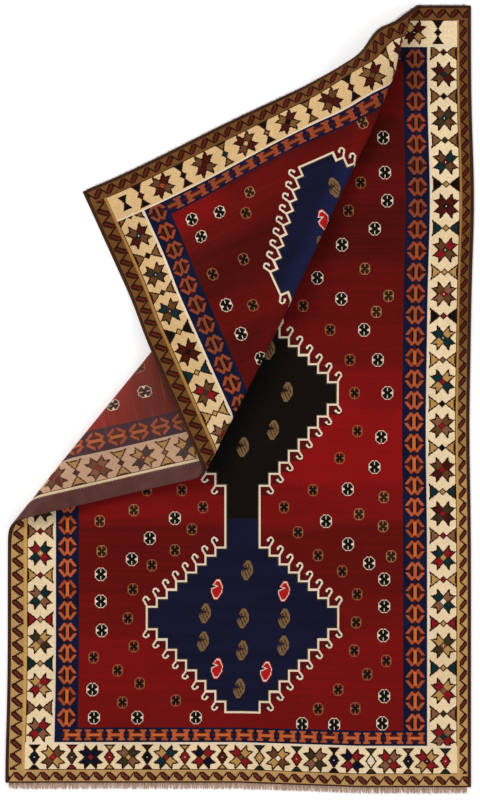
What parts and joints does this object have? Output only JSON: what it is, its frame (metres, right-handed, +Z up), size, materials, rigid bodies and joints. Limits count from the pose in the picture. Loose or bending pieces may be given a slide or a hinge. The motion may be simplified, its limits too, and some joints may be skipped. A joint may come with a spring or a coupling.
{
  "type": "hand-knotted rug, folded",
  "caption": "Hand-knotted wool rug lying on the floor with one corner turned over in a tapering double fold.",
  "frame": {"origin": "on the floor, under the centre of the rug's box as it lies folded", "axes": "+Z up from the floor, +Y along the rug's length towards the folded end, +X across its width towards the plain side"},
  "size_m": [1.5636, 2.6366, 0.1309],
  "materials": {
    "knotted_wool": "short clipped wool pile, deep red field with blue and ivory borders",
    "selvedge_wool": "dark brown wool overcasting",
    "tape_leather": "satin brown tape stitched to the back",
    "fringe_wool": "pale undyed wool warp ends"
  },
  "bodies": {
    "root": {"rug_field": "knotted_wool", "selvedge_left": "selvedge_wool", "selvedge_right": "selvedge_wool", "edge_tape": "tape_leather", "fringe_lower": "fringe_wool"}
  },
  "joints": []
}
